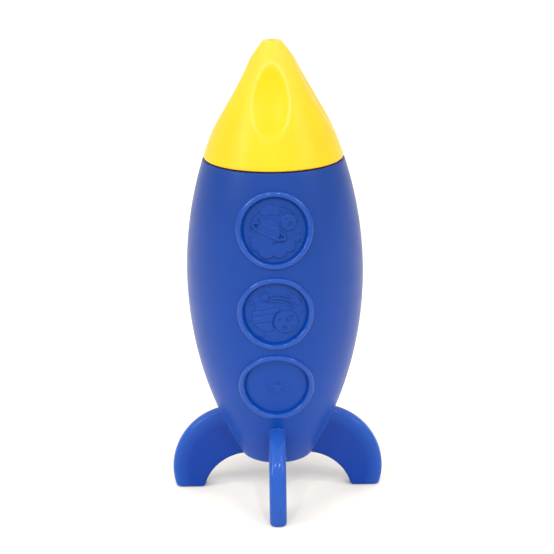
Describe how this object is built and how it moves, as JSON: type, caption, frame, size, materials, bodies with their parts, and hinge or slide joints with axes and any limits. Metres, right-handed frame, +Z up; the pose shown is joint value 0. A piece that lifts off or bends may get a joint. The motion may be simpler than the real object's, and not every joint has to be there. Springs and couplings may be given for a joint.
{
  "type": "toy rocket",
  "caption": "Hollow soft bath-toy rocket that stands on crescent fins; its finger-dented nose twists and pulls out of the hull so that it fills, squirts and rinses clean.",
  "frame": {"origin": "on the floor under the middle of the rocket, midway between the four soles", "axes": "+Z up along the hull's axis to the nose tip, -Y out of the portholes through the front fin, +X to the right when the portholes are looked at"},
  "size_m": [0.0796, 0.0796, 0.17],
  "materials": {
    "hull_blue": "soft matt silicone, slightly satin",
    "fin_blue": "soft satin silicone",
    "porthole_blue": "soft satin silicone",
    "nose_yellow": "soft matt silicone"
  },
  "bodies": {
    "hull": {"hull_shell": "hull_blue", "fin_front": "fin_blue", "fin_right": "fin_blue", "fin_rear": "fin_blue", "fin_left": "fin_blue", "porthole_ring_upper": "porthole_blue", "porthole_ring_middle": "porthole_blue", "porthole_ring_lower": "porthole_blue", "porthole_plaque_upper": "hull_blue", "porthole_plaque_middle": "hull_blue", "porthole_plaque_lower": "hull_blue"},
    "plug": {"nose_plug": "nose_yellow"},
    "nose": {"nose_cone": "nose_yellow"}
  },
  "joints": [
    {"name": "nose_pull", "type": "slide", "parent": "hull", "child": "plug", "axis": [0, 0, 1], "range_m": [0, 0.06]},
    {"name": "nose_twist", "type": "hinge", "parent": "plug", "child": "nose", "pos_m": [0, 0, 0.128], "axis": [0, 0, 1], "continuous": true}
  ]
}
